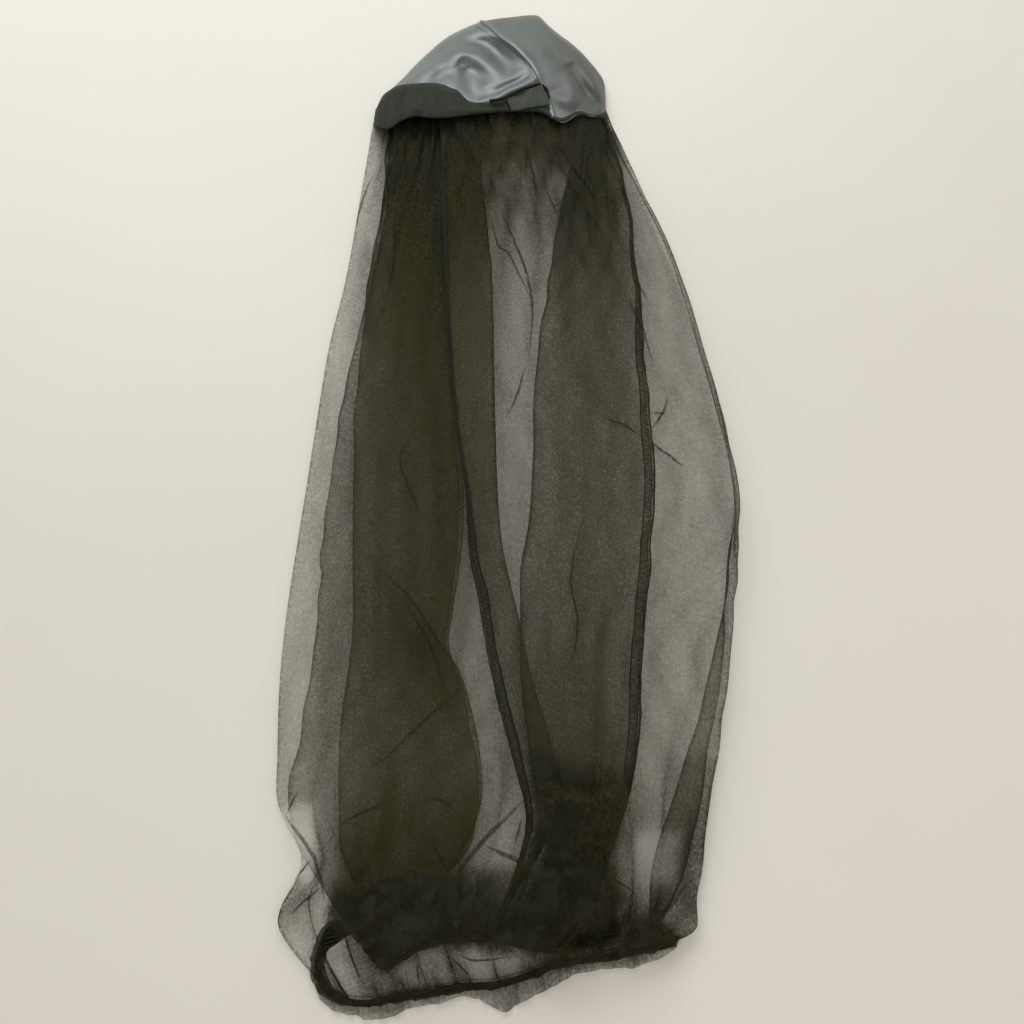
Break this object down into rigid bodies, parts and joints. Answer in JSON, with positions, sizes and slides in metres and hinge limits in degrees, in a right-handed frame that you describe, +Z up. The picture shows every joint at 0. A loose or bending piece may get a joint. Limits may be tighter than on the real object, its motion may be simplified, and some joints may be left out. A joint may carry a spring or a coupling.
{
  "type": "beekeeping veil",
  "caption": "Soft head veil with a cloth crown, a gathered tube of fine netting and an elastic neck edge, laid flat.",
  "frame": {"origin": "centre of the laid veil's bounding box, at its base", "axes": "+Y from the neck edge to the crown, +Z up off the surface the veil lies on, +X across to its right"},
  "size_m": [0.2494, 0.6195, 0.0438],
  "materials": {
    "crown_cloth": "satin polyester cloth",
    "band_cloth": "matt woven cloth",
    "netting": "fine see-through hexagonal netting",
    "seam_netting": "several folded layers of netting, overlocked",
    "elastic": "ribbed woven elastic",
    "thread": "spun polyester thread"
  },
  "bodies": {
    "root": {"crown_panel_left": "crown_cloth", "crown_panel_right": "crown_cloth", "crown_seam_welt": "crown_cloth", "crown_seam_stitches": "thread", "crown_band": "band_cloth", "crown_band_lap": "band_cloth", "crown_band_stitches": "thread", "net_panel_front": "netting", "net_panel_back": "netting", "side_seam_left": "seam_netting", "side_seam_right": "seam_netting", "side_seam_left_stitches": "thread", "side_seam_right_stitches": "thread", "neck_casing": "netting", "neck_casing_stitches": "thread", "neck_elastic": "elastic", "elastic_join_stitches": "thread"}
  },
  "joints": []
}
